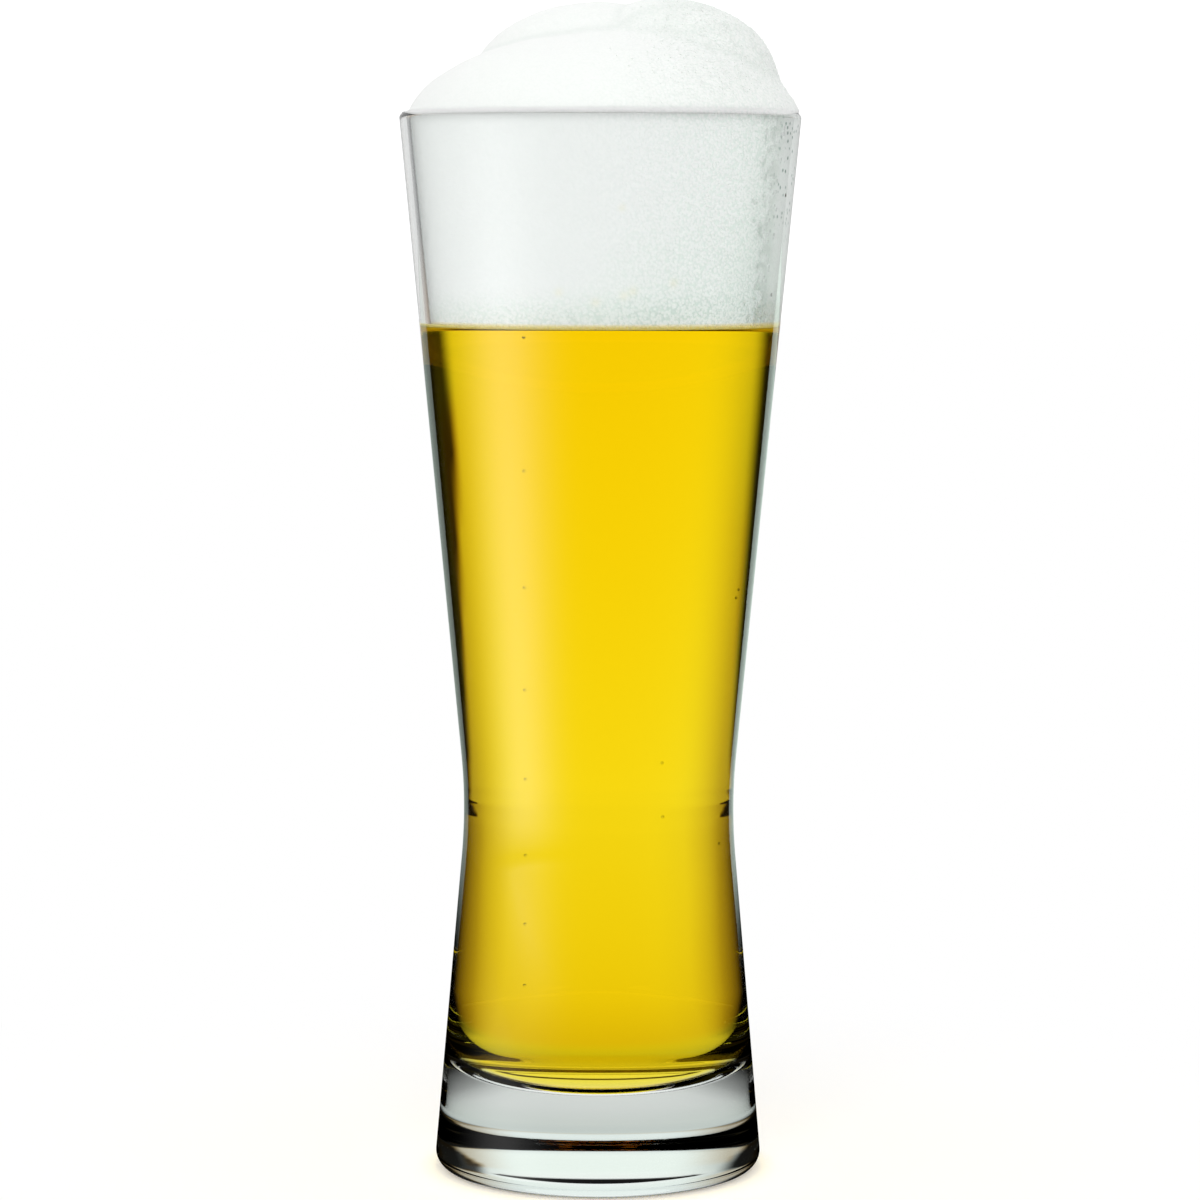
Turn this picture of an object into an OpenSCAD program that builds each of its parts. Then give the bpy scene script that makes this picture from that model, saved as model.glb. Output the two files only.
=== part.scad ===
// Waisted pilsner glass, poured: a one-piece glass, its beer and its head of foam.
// Z is up, the origin is on the table under the middle of the foot, and lengths are in millimetres.

/* [Glass outside] */
// Height of the rim above the table
glass_h = 210; // [180:1:240]
// Outside diameter of the wall just under the rounded rim
rim_d = 79; // [72:0.5:90]
// Outside diameter at which the two tapers would meet
waist_d = 52.8; // [46:0.2:58]
// Height of that meeting above the table
waist_z = 73; // [60:1:85]
// Radius that eases one taper into the other outside
waist_ease_r = 110; // [40:5:150]
// Outside diameter that the lower taper would reach at the table
foot_d = 65.6; // [60:0.2:74]
// Radius of the rounded edge round the foot
foot_edge_r = 3.4; // [2:0.1:5]
// Width of the flat ring that the glass stands on
ring_w = 2.4; // [1:0.1:5]
// Rise of the shallow hollow under the foot, inside that ring
hollow_h = 2; // [0.4:0.1:3]

/* [Glass inside] */
// Wall at the rim
rim_wall = 2; // [1.4:0.1:3]
// Wall where the tapers meet, measured before they are eased
waist_wall = 2.6; // [1.8:0.1:4]
// Wall at the level of the bowl's floor
floor_wall = 3.2; // [2.2:0.1:5]
// Solid glass from the table to the bowl's floor
base_t = 18; // [10:0.5:26]
// Radius of the corner round the bowl's floor
floor_corner_r = 11; // [4:0.5:14]
// Radius that eases one taper into the other inside
bore_ease_r = 14; // [4:1:40]

/* [Drink] */
// Height of the top of the beer above the table
fill_z = 169; // [120:1:175]
// Room left between the glass and what it holds
drink_gap = 0.05; // [0.02:0.01:0.2]

/* [Foam crown] */
// Rise of the broad front dome above the rim
dome_h = 15.5; // [8:0.5:24]
// Depth of the dome's widest level below the rim
dome_sink = 4; // [1:0.5:8]
// Height above the rim at which the two later lobes grow out of the dome
lobe_root = 1.5; // [0.5:0.5:3]
// Distance of the right lobe's axis from the glass's axis, sideways
right_x = 17; // [12:0.5:20]
// Distance of the right lobe's axis behind the glass's axis
right_y = 4; // [0:0.5:8]
// Radius of the right lobe
right_r = 17.5; // [13:0.5:18]
// Top of the right lobe above the rim
right_h = 21.4; // [17:0.2:28]
// Radius of the right lobe's round shoulder
right_shoulder = 15; // [6:0.5:15]
// Distance of the rear lobe's axis from the glass's axis, sideways
rear_x = -1.5; // [-6:0.5:4]
// Distance of the rear lobe's axis behind the glass's axis
rear_y = 11; // [6:0.5:13]
// Radius of the rear lobe
rear_r = 24; // [18:0.5:25]
// Top of the rear lobe above the rim
rear_h = 21.8; // [20.5:0.1:28]
// Radius of the rear lobe's round shoulder
rear_shoulder = 19; // [8:0.5:20]

/* [Hidden] */
$fn = 96;

// The rim is a half round on top of the wall
lip_r = rim_wall / 2;
lip_z = glass_h - lip_r;
lip_mid = [rim_d / 2 - lip_r, lip_z];

// Corners of the outside: rim, waist and foot
out_rim = [rim_d / 2, lip_z];
out_waist = [waist_d / 2, waist_z];
out_foot = [foot_d / 2, 0];

// Corners of the bowl: rim, waist and floor
bore_rim = [rim_d / 2 - rim_wall, lip_z];
bore_waist = [waist_d / 2 - waist_wall, waist_z];
floor_share = base_t / waist_z;
bore_floor = [(1 - floor_share) * foot_d / 2 + floor_share * waist_d / 2 - floor_wall, base_t];
// The bowl runs on past the rim by this much, to open it
bore_over = 2;

// Hollow under the foot: a shallow ball cut inside the standing ring
stand_r = touch(out_foot, [0, 0], out_waist, foot_edge_r).x;
hollow_r = stand_r - ring_w;
hollow_ball_r = (hollow_r ^ 2 + hollow_h ^ 2) / (2 * hollow_h);

// The dome springs from the middle of the rounded rim
dome_b = dome_h + dome_sink;
dome_a = lip_mid.x / sqrt(1 - (dome_sink / dome_b) ^ 2);

function unit(v) = v / norm(v);

// Half of the angle at corner c between the ways to a and to b
function half_angle(c, a, b) = acos(unit(a - c) * unit(b - c)) / 2;

// Where a round of radius r in corner c touches the side that runs to a
function touch(c, a, b, r) = c + unit(a - c) * r / tan(half_angle(c, a, b));

// Middle of a round of radius r in corner c
function round_mid(c, a, b, r) = c + unit(unit(a - c) + unit(b - c)) * r / sin(half_angle(c, a, b));

// Point at height z on the line from a to b
function at_height(a, b, z) = a + (b - a) * (z - a.y) / (b.y - a.y);

// Half section of a round body with two tapers, eased at the waist and rounded at its low edge
module waisted_section(rim, waist, low, ease_r, edge_r) {
    low_mid = [0, low.y];
    difference() {
        union() {
            polygon([
                low_mid,
                touch(low, low_mid, waist, edge_r),
                touch(low, waist, low_mid, edge_r),
                touch(waist, low, rim, ease_r),
                touch(waist, rim, low, ease_r),
                rim,
                [0, rim.y]
            ]);
            translate(round_mid(low, low_mid, waist, edge_r)) circle(edge_r);
        }
        translate(round_mid(waist, rim, low, ease_r)) circle(ease_r);
    }
}

// Half section of the bowl, drawn in by gap on every side
module bowl_section(gap) {
    inward = [-gap, 0];
    waisted_section(
        at_height(bore_waist, bore_rim, lip_z + bore_over) + inward,
        bore_waist + inward,
        bore_floor + [-gap, gap],
        bore_ease_r,
        floor_corner_r
    );
}

// Rounded rim, as the upper half of a disc on top of the wall
module lip_section() {
    intersection() {
        translate(lip_mid) circle(lip_r);
        translate([lip_mid.x - lip_r, lip_z]) square([rim_wall, lip_r]);
    }
}

module glass() {
    color([0.86, 0.93, 0.90, 0.35])
    rotate_extrude() {
        difference() {
            waisted_section(out_rim, out_waist, out_foot, waist_ease_r, foot_edge_r);
            bowl_section(0);
            translate([0, hollow_h - hollow_ball_r]) circle(hollow_ball_r);
        }
        lip_section();
    }
}

module beer() {
    color([0.97, 0.80, 0.08])
    rotate_extrude()
    intersection() {
        bowl_section(drink_gap);
        square([rim_d, fill_z]);
    }
}

// Foam inside the glass and over the inner half of the rim
module foam_column_section() {
    difference() {
        union() {
            intersection() {
                bowl_section(drink_gap);
                translate([0, fill_z]) square([rim_d, lip_z - fill_z]);
            }
            translate([0, lip_z]) square([lip_mid.x, lip_r]);
        }
        translate(lip_mid) circle(lip_r + drink_gap);
    }
}

// Broad front dome, as the part of an ellipse above the rim
module foam_dome_section() {
    intersection() {
        translate([0, glass_h - dome_sink]) scale([1, dome_b / dome_a]) circle(dome_a);
        translate([0, glass_h]) square([dome_a, dome_h]);
    }
}

// A later lobe of foam, with a flat top and one round shoulder
module foam_lobe(x, y, r, h, shoulder) {
    flat_r = r - shoulder;
    translate([x, y, glass_h])
    rotate_extrude()
    intersection() {
        union() {
            translate([flat_r, h - shoulder]) circle(shoulder);
            square([flat_r, h]);
            square([r, h - shoulder]);
        }
        translate([0, lobe_root]) square([r, h]);
    }
}

module foam_head() {
    color([0.97, 0.97, 0.95]) {
        rotate_extrude() {
            foam_column_section();
            foam_dome_section();
        }
        foam_lobe(right_x, right_y, right_r, right_h, right_shoulder);
        foam_lobe(rear_x, rear_y, rear_r, rear_h, rear_shoulder);
    }
}

glass();
beer();
foam_head();
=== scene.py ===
"""Waisted pilsner glass, poured: the looks of the glass, its beer and its foam, with stage and camera."""

import logging
import math
from dataclasses import dataclass, field
from enum import Enum

import bpy
import numpy as np
from mathutils import Matrix, Vector, noise


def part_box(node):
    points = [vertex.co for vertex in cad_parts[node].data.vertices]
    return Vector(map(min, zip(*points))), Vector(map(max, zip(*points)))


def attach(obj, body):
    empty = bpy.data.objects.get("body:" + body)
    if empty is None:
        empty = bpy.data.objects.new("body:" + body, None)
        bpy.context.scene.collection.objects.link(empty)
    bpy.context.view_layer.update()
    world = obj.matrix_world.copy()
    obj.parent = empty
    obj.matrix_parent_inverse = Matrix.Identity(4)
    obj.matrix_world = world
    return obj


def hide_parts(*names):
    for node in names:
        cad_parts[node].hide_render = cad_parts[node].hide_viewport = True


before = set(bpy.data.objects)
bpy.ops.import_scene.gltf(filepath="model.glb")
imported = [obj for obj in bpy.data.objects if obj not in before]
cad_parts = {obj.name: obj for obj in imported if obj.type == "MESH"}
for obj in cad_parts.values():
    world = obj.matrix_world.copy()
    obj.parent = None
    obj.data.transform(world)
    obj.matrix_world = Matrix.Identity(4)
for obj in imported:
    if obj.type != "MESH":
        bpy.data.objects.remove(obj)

log = logging.getLogger("pilsner")
logging.basicConfig(level=logging.INFO, format="%(name)s: %(message)s")

MM = 0.001
WELD = 1e-7  # points nearer than this, in metres, become one
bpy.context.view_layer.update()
WHITE = "#FFFFFF"
BLACK = "#000000"

Point = tuple[float, float]
Point3 = tuple[float, float, float]
Span = tuple[float, float]
Color = tuple[float, float, float, float]


class Slot(Enum):
    """Material slots of the record."""

    GLASS = "clear_glass"
    BEER = "pale_beer"
    FOAM = "beer_foam"


# Nodes and objects


def linear(code: str) -> Color:
    """Turn an sRGB hex colour into a linear one.

    Args:
        code: Six hex digits after a hash sign.

    Returns:
        Linear red, green and blue, and an alpha of 1.
    """
    parts = [int(code[i:i + 2], 16) / 255 for i in (1, 3, 5)]
    lin = [c / 12.92 if c <= 0.04045 else ((c + 0.055) / 1.055) ** 2.4 for c in parts]
    return (*lin, 1.0)


def add_node(tree: bpy.types.NodeTree, kind: str, inputs: dict | None = None, **settings) -> bpy.types.Node:
    """Add a node with its settings, values and links.

    Args:
        tree: Node tree that gets the node.
        kind: The node's type name.
        inputs: Input names or numbers, each with a value or with the socket that it is linked from.
        settings: Attributes of the node.

    Returns:
        The new node.
    """
    node = tree.nodes.new(kind)
    for name, value in settings.items():
        setattr(node, name, value)
    for name, value in (inputs or {}).items():
        if isinstance(value, bpy.types.NodeSocket):
            tree.links.new(value, node.inputs[name])
        else:
            node.inputs[name].default_value = value
    return node


def empty_material(name: str) -> tuple[bpy.types.Material, bpy.types.NodeTree]:
    """Make a material whose node tree is empty.

    Args:
        name: Name of the material.

    Returns:
        The material and its tree.
    """
    mat = bpy.data.materials.new(name)
    mat.use_nodes = True
    mat.node_tree.nodes.clear()
    return mat, mat.node_tree


def geometry_tree(name: str, inputs: dict[str, str]) -> tuple[bpy.types.NodeTree, bpy.types.NodeOutputs]:
    """Make a geometry node tree that takes a geometry and named inputs.

    Args:
        name: Name of the tree.
        inputs: Names of the inputs, each with its kind of socket.

    Returns:
        The tree, and the outputs that give the inputs inside it.
    """
    tree = bpy.data.node_groups.new(name, "GeometryNodeTree")
    for label, kind in {"Geometry": "Geometry", **inputs}.items():
        tree.interface.new_socket(label, in_out="INPUT", socket_type="NodeSocket" + kind)
    tree.interface.new_socket("Geometry", in_out="OUTPUT", socket_type="NodeSocketGeometry")
    return tree, add_node(tree, "NodeGroupInput").outputs


def add_object(name: str, data: bpy.types.ID) -> bpy.types.Object:
    """Make an object in the scene, at the origin.

    Args:
        name: Name of the object.
        data: Its mesh, camera or lamp.

    Returns:
        The object.
    """
    obj = bpy.data.objects.new(name, data)
    bpy.context.scene.collection.objects.link(obj)
    return obj


def add_values(mesh: bpy.types.Mesh, name: str, values: np.ndarray) -> None:
    """Give each of a mesh's points a value under a name."""
    mesh.attributes.new(name, "FLOAT", "POINT").data.foreach_set("value", values.astype(np.float32).ravel())


# Outlines: points in millimetres, as radius and height


def unit(v: Vector) -> Vector:
    """Return v at length 1."""
    return v / v.length


def rounded(corner: Point, before: Point, after: Point, radius: float, steps: int) -> list[Point]:
    """Round a corner of an outline with an arc.

    Args:
        corner: The sharp corner.
        before: A point on the side that leads to the corner.
        after: A point on the side that leaves it.
        radius: Radius of the arc.
        steps: Number of steps along the arc.

    Returns:
        Points from the arc's touch on the first side to its touch on the second.
    """
    c, a, b = Vector(corner), unit(Vector(before) - Vector(corner)), unit(Vector(after) - Vector(corner))
    half = math.acos(max(-1.0, min(1.0, a.dot(b)))) / 2
    mid = c + unit(a + b) * radius / math.sin(half)
    start, end = c + a * radius / math.tan(half) - mid, c + b * radius / math.tan(half) - mid
    turn = math.atan2(start.x * end.y - start.y * end.x, start.dot(end))
    points = []
    for i in range(steps + 1):
        angle = turn * i / steps
        x = start.x * math.cos(angle) - start.y * math.sin(angle)
        y = start.x * math.sin(angle) + start.y * math.cos(angle)
        points.append((mid.x + x, mid.y + y))
    return points


def subdivided(points: list[Point], longest: float, end_step: float = 0.25,
               end_share: float = 0.15) -> list[Point]:
    """Split an outline's long straight runs, with short steps next to their ends.

    Args:
        points: The outline.
        longest: Longest step that is left, in millimetres.
        end_step: First and last step of a split run, as a share of the longest step.
        end_share: Most that such a step takes of its run.

    Returns:
        The outline with the added points.
    """
    out = [points[0]]
    for (x0, y0), (x1, y1) in zip(points, points[1:]):
        run = math.hypot(x1 - x0, y1 - y0)
        parts = max(1, math.ceil(run / longest))
        shares = [i / parts for i in range(1, parts + 1)]
        if parts > 1:
            near = min(end_share, end_step * longest / run)
            shares = sorted({*shares, near, 1 - near})
        out += [(x0 + (x1 - x0) * s, y0 + (y1 - y0) * s) for s in shares]
    return out


def smooth(low: float, high: float, value: np.ndarray | float) -> np.ndarray | float:
    """Return a smooth step from 0 at low to 1 at high."""
    t = np.clip((value - low) / (high - low), 0.0, 1.0)
    return t * t * (3 - 2 * t)


# Meshes


def revolve_tree() -> bpy.types.NodeTree:
    """Build the node tree that turns an outline about the Z axis.

    Returns:
        A tree that takes the outline's points in order, how many of them and of segments there are, from
        which point on the surface is wet, and from which point and how far round it has a wet film.
    """
    tree, given = geometry_tree("revolve_outline", {
        "Points": "Int", "Segments": "Int", "Wet From": "Int", "Film From": "Int", "Film Cosine": "Float",
        "Film Wander": "Float", "Wander Scale": "Float", "Finish": "Material", "Wet Finish": "Material"})
    around = add_node(tree, "ShaderNodeMath", {0: given["Segments"], 1: 1.0}, operation="ADD").outputs[0]
    grid = add_node(tree, "GeometryNodeMeshGrid", {"Vertices X": given["Points"], "Vertices Y": around})
    index = add_node(tree, "GeometryNodeInputIndex").outputs[0]
    row = add_node(tree, "ShaderNodeMath", {0: index, 1: around}, operation="DIVIDE").outputs[0]
    row = add_node(tree, "ShaderNodeMath", {0: row}, operation="FLOOR").outputs[0]
    column = add_node(tree, "ShaderNodeMath", {0: index, 1: around}, operation="MODULO").outputs[0]
    share = add_node(tree, "ShaderNodeMath", {0: column, 1: given["Segments"]}, operation="DIVIDE").outputs[0]
    angle = add_node(tree, "ShaderNodeMath", {0: share, 1: math.tau}, operation="MULTIPLY").outputs[0]
    place = add_node(tree, "GeometryNodeInputPosition").outputs[0]
    taken = add_node(tree, "GeometryNodeSampleIndex",
                     {"Geometry": given["Geometry"], "Value": place, "Index": row}, data_type="FLOAT_VECTOR")
    turned = add_node(tree, "ShaderNodeVectorRotate", {"Vector": taken.outputs[0], "Angle": angle},
                      rotation_type="Z_AXIS").outputs[0]
    # a face is wet below one level, and above it where a film's uneven edge reaches round from the right
    band = add_node(tree, "ShaderNodeMath", {0: index, 1: given["Segments"]}, operation="DIVIDE").outputs[0]
    below = add_node(tree, "FunctionNodeCompare", {"A": band, "B": given["Wet From"]},
                     operation="GREATER_EQUAL").outputs[0]
    level = add_node(tree, "ShaderNodeVectorMath", {0: place, 1: (1.0, 1.0, 0.0)},
                     operation="MULTIPLY").outputs[0]
    level = add_node(tree, "ShaderNodeVectorMath", {0: level}, operation="NORMALIZE").outputs[0]
    side = add_node(tree, "ShaderNodeSeparateXYZ", {0: level}).outputs["X"]
    wander = add_node(tree, "ShaderNodeTexNoise", {"Vector": place, "Scale": given["Wander Scale"]})
    wander = add_node(tree, "ShaderNodeMath", {0: wander.outputs[0], 1: 0.5}, operation="SUBTRACT").outputs[0]
    side = add_node(tree, "ShaderNodeMath", {0: wander, 1: given["Film Wander"], 2: side},
                    operation="MULTIPLY_ADD").outputs[0]
    near = add_node(tree, "FunctionNodeCompare", {"A": side, "B": given["Film Cosine"]},
                    operation="GREATER_THAN").outputs[0]
    high = add_node(tree, "FunctionNodeCompare", {"A": band, "B": given["Film From"]},
                    operation="GREATER_EQUAL").outputs[0]
    film = add_node(tree, "FunctionNodeBooleanMath", {0: near, 1: high}, operation="AND").outputs[0]
    wet = add_node(tree, "FunctionNodeBooleanMath", {0: below, 1: film}, operation="OR").outputs[0]
    placed = add_node(tree, "GeometryNodeSetPosition", {"Geometry": grid.outputs["Mesh"], "Position": turned})
    marked = add_node(tree, "GeometryNodeStoreNamedAttribute",
                      {"Geometry": placed.outputs[0], "Name": "wet", "Value": wet},
                      domain="FACE", data_type="BOOLEAN")
    closed = add_node(tree, "GeometryNodeMergeByDistance", {"Geometry": marked.outputs[0], "Distance": WELD})
    outward = add_node(tree, "GeometryNodeFlipFaces", {"Mesh": closed.outputs[0]})
    even = add_node(tree, "GeometryNodeSetShadeSmooth", {"Geometry": outward.outputs[0]})
    real = add_node(tree, "GeometryNodeRealizeInstances", {"Geometry": even.outputs[0]})
    dressed = add_node(tree, "GeometryNodeSetMaterial",
                       {"Geometry": real.outputs[0], "Material": given["Finish"]})
    wet = add_node(tree, "GeometryNodeInputNamedAttribute", {"Name": "wet"}, data_type="BOOLEAN").outputs[0]
    wetted = add_node(tree, "GeometryNodeSetMaterial", {"Geometry": dressed.outputs[0], "Selection": wet,
                                                        "Material": given["Wet Finish"]})
    add_node(tree, "NodeGroupOutput", {0: wetted.outputs[0]})
    return tree


def run_tree(name: str, base: bpy.types.Mesh, tree: bpy.types.NodeTree, values: dict) -> bpy.types.Object:
    """Run a geometry tree on a mesh and keep the result as a plain mesh.

    Args:
        name: Name of the new object.
        base: Mesh that the tree starts from.
        tree: Geometry node tree.
        values: Values of the tree's inputs, by name.

    Returns:
        An object with the tree's result and no modifier.
    """
    obj = add_object(name, base)
    modifier = obj.modifiers.new("tree", "NODES")
    modifier.node_group = tree
    for item in tree.interface.items_tree:
        if item.in_out == "INPUT" and item.name in values:
            modifier[item.identifier] = values[item.name]
    evaluated = obj.evaluated_get(bpy.context.evaluated_depsgraph_get())
    mesh = bpy.data.meshes.new_from_object(evaluated)
    obj.modifiers.clear()
    obj.data = mesh
    mesh.name = name
    return obj


@dataclass(frozen=True)
class Wetting:
    """Where drink lies against a turned surface, by the numbers of the outline's points.

    The film's edge is a cosine to the right, from which it wanders by a share over so many millimetres.
    """

    finish: bpy.types.Material
    below: int
    film: int
    film_cosine: float = 1.0
    wander: float = 0.35
    wander_mm: float = 1.6


def revolve(name: str, outline: list[Point], segments: int, finish: bpy.types.Material,
            wet: Wetting | None = None) -> bpy.types.Object:
    """Turn an outline about the Z axis into a closed mesh.

    Args:
        name: Name of the object.
        outline: Points in millimetres from the axis at the bottom, round the solid, back to the axis.
        segments: Number of steps round the axis.
        finish: Material of the surface.
        wet: Where the surface is wet, or None.

    Returns:
        The turned object.
    """
    base = bpy.data.meshes.new(name + "_outline")
    base.from_pydata([(r * MM, 0.0, z * MM) for r, z in outline], [], [])
    wet = wet or Wetting(finish, len(outline), len(outline))
    values = {"Points": len(outline), "Segments": segments, "Finish": finish, "Wet Finish": wet.finish,
              "Wet From": wet.below, "Film From": wet.film, "Film Cosine": wet.film_cosine,
              "Film Wander": wet.wander, "Wander Scale": 1 / (wet.wander_mm * MM)}
    return run_tree(name, base, REVOLVE, values)


def end_with_bubbles(tree: bpy.types.NodeTree, placed: bpy.types.Node, finish: bpy.types.NodeSocket) -> None:
    """End a tree with its bubbles made real, shaded smooth and dressed.

    Args:
        tree: Geometry node tree.
        placed: Node that places the bubbles.
        finish: Socket that gives their material.
    """
    real = add_node(tree, "GeometryNodeRealizeInstances", {"Geometry": placed.outputs[0]})
    even = add_node(tree, "GeometryNodeSetShadeSmooth", {"Geometry": real.outputs[0]})
    dressed = add_node(tree, "GeometryNodeSetMaterial", {"Geometry": even.outputs[0], "Material": finish})
    add_node(tree, "NodeGroupOutput", {0: dressed.outputs[0]})


def scatter_tree() -> bpy.types.NodeTree:
    """Build the node tree that scatters small round bubbles over a surface.

    Returns:
        A tree that takes the surface and how many bubbles, of which sizes, lie where it is marked as bubbly.
    """
    tree, given = geometry_tree("scatter_bubbles", {"Density": "Float", "Least Radius": "Float",
                                                    "Largest Radius": "Float", "Seed": "Int",
                                                    "Finish": "Material"})
    marked = add_node(tree, "GeometryNodeInputNamedAttribute", {"Name": "bubbly"}, data_type="FLOAT")
    dense = add_node(tree, "ShaderNodeMath", {0: marked.outputs[0], 1: given["Density"]},
                     operation="MULTIPLY")
    spread = add_node(tree, "GeometryNodeDistributePointsOnFaces",
                      {"Mesh": given["Geometry"], "Density": dense.outputs[0], "Seed": given["Seed"]})
    bubble = add_node(tree, "GeometryNodeMeshIcoSphere", {"Radius": 1.0, "Subdivisions": 1})
    size = add_node(tree, "FunctionNodeRandomValue",
                    {"Min": given["Least Radius"], "Max": given["Largest Radius"], "Seed": given["Seed"]},
                    data_type="FLOAT")
    size = next(out for out in size.outputs if out.enabled)
    placed = add_node(tree, "GeometryNodeInstanceOnPoints",
                      {"Points": spread.outputs["Points"], "Instance": bubble.outputs["Mesh"], "Scale": size})
    end_with_bubbles(tree, placed, given["Finish"])
    return tree


def string_tree() -> bpy.types.NodeTree:
    """Build the node tree that threads bubbles on a rising string, each gap longer than the one below.

    Returns:
        A tree that takes the string's foot, the first gap, its growth and the bubbles' radius and count,
        and adds a bubble at each point of the geometry.
    """
    tree, given = geometry_tree("string_of_bubbles", {"Count": "Int", "Foot": "Vector", "First Gap": "Float",
                                                      "Growth": "Float", "Radius": "Float",
                                                      "Finish": "Material"})
    line = add_node(tree, "GeometryNodeMeshLine", {"Count": given["Count"]})
    index = add_node(tree, "GeometryNodeInputIndex").outputs[0]
    # the heights are a growing sum: gap * (growth ^ n - 1) / (growth - 1)
    power = add_node(tree, "ShaderNodeMath", {0: given["Growth"], 1: index}, operation="POWER").outputs[0]
    power = add_node(tree, "ShaderNodeMath", {0: power, 1: 1.0}, operation="SUBTRACT").outputs[0]
    base = add_node(tree, "ShaderNodeMath", {0: given["Growth"], 1: 1.0}, operation="SUBTRACT").outputs[0]
    share = add_node(tree, "ShaderNodeMath", {0: power, 1: base}, operation="DIVIDE").outputs[0]
    rise = add_node(tree, "ShaderNodeMath", {0: share, 1: given["First Gap"]}, operation="MULTIPLY")
    up = add_node(tree, "ShaderNodeCombineXYZ", {"Z": rise.outputs[0]}).outputs[0]
    place = add_node(tree, "ShaderNodeVectorMath", {0: given["Foot"], 1: up}, operation="ADD").outputs[0]
    string = add_node(tree, "GeometryNodeSetPosition", {"Geometry": line.outputs[0], "Position": place})
    both = add_node(tree, "GeometryNodeJoinGeometry")
    tree.links.new(string.outputs[0], both.inputs[0])
    tree.links.new(given["Geometry"], both.inputs[0])
    bubble = add_node(tree, "GeometryNodeMeshIcoSphere", {"Radius": given["Radius"], "Subdivisions": 3})
    placed = add_node(tree, "GeometryNodeInstanceOnPoints",
                      {"Points": both.outputs[0], "Instance": bubble.outputs["Mesh"]})
    end_with_bubbles(tree, placed, given["Finish"])
    return tree


REVOLVE = revolve_tree()
SCATTER = scatter_tree()
STRING = string_tree()


# Finishes


@dataclass(frozen=True)
class HeightTint:
    """A colour that a surface takes wholly at one height and not at all at another, in millimetres."""

    color: str
    whole_z: float
    none_z: float


def tinted_by_height(tree: bpy.types.NodeTree, color: str,
                     tints: tuple[HeightTint, ...]) -> bpy.types.NodeSocket:
    """Add a colour that changes with the height above the table.

    Args:
        tree: Node tree of the material.
        color: Colour where no tint holds.
        tints: Tints, each laid over those before it.

    Returns:
        The socket that gives the colour.
    """
    place = add_node(tree, "ShaderNodeTexCoord").outputs["Object"]
    height = add_node(tree, "ShaderNodeSeparateXYZ", {0: place}).outputs["Z"]
    shade = linear(color)
    for tint in tints:
        share = add_node(tree, "ShaderNodeMapRange",
                         {"Value": height, "From Min": tint.whole_z * MM, "From Max": tint.none_z * MM,
                          "To Min": 1.0, "To Max": 0.0}).outputs[0]
        shade = add_node(tree, "ShaderNodeMix", {"Factor": share, "A": shade, "B": linear(tint.color)},
                         data_type="RGBA").outputs[2]
    return shade


@dataclass(frozen=True)
class SodaLimeGlass:
    """Machine-blown soda-lime glass, fire polished: clear and sharp, faintly green where it is thick."""

    ior: float = 1.52
    tint: str = "#C8F0D8"
    density: float = 0.6
    solid: HeightTint = HeightTint("#F0FAF3", 13.0, 18.0)
    edge: HeightTint = HeightTint("#DCE6E5", 1.5, 4.0)
    wall: HeightTint = HeightTint("#FDFFFE", 171.0, 168.0)
    ripple_mm: float = 26.0
    ripple_depth_mm: float = 0.008

    def material(self, name: str, against: float = 1.0) -> bpy.types.Material:
        """Build the glass material.

        Args:
            name: Name of the material.
            against: IOR of what the surface lies against: 1 for air.

        Returns:
            The material.
        """
        mat, tree = empty_material(name)
        # a machine-blown wall is never quite even: slow ripples bend what is seen through it
        place = add_node(tree, "ShaderNodeTexCoord").outputs["Object"]
        ripple = add_node(tree, "ShaderNodeTexNoise",
                          {"Vector": place, "Scale": 1 / (self.ripple_mm * MM), "Detail": 1.0})
        bump = add_node(tree, "ShaderNodeBump", {"Strength": 1.0, "Distance": self.ripple_depth_mm * MM,
                                                 "Height": ripple.outputs["Fac"]})
        # the solid foot is far thicker than the wall, and its rounded edge is seen through all of it, so they
        # look greener; so does the bare wall above the beer, which is seen edge on beside the foam
        tint = tinted_by_height(tree, WHITE, (self.solid, self.edge, self.wall))
        skin = add_node(tree, "ShaderNodeBsdfPrincipled",
                        {"Base Color": tint, "Roughness": 0.0, "IOR": self.ior / against,
                         "Transmission Weight": 1.0, "Normal": bump.outputs[0]})
        out = add_node(tree, "ShaderNodeOutputMaterial", {"Surface": skin.outputs[0]})
        if against == 1.0:
            body = add_node(tree, "ShaderNodeVolumeAbsorption",
                            {"Color": linear(self.tint), "Density": self.density})
            tree.links.new(body.outputs[0], out.inputs["Volume"])
        return mat


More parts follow.
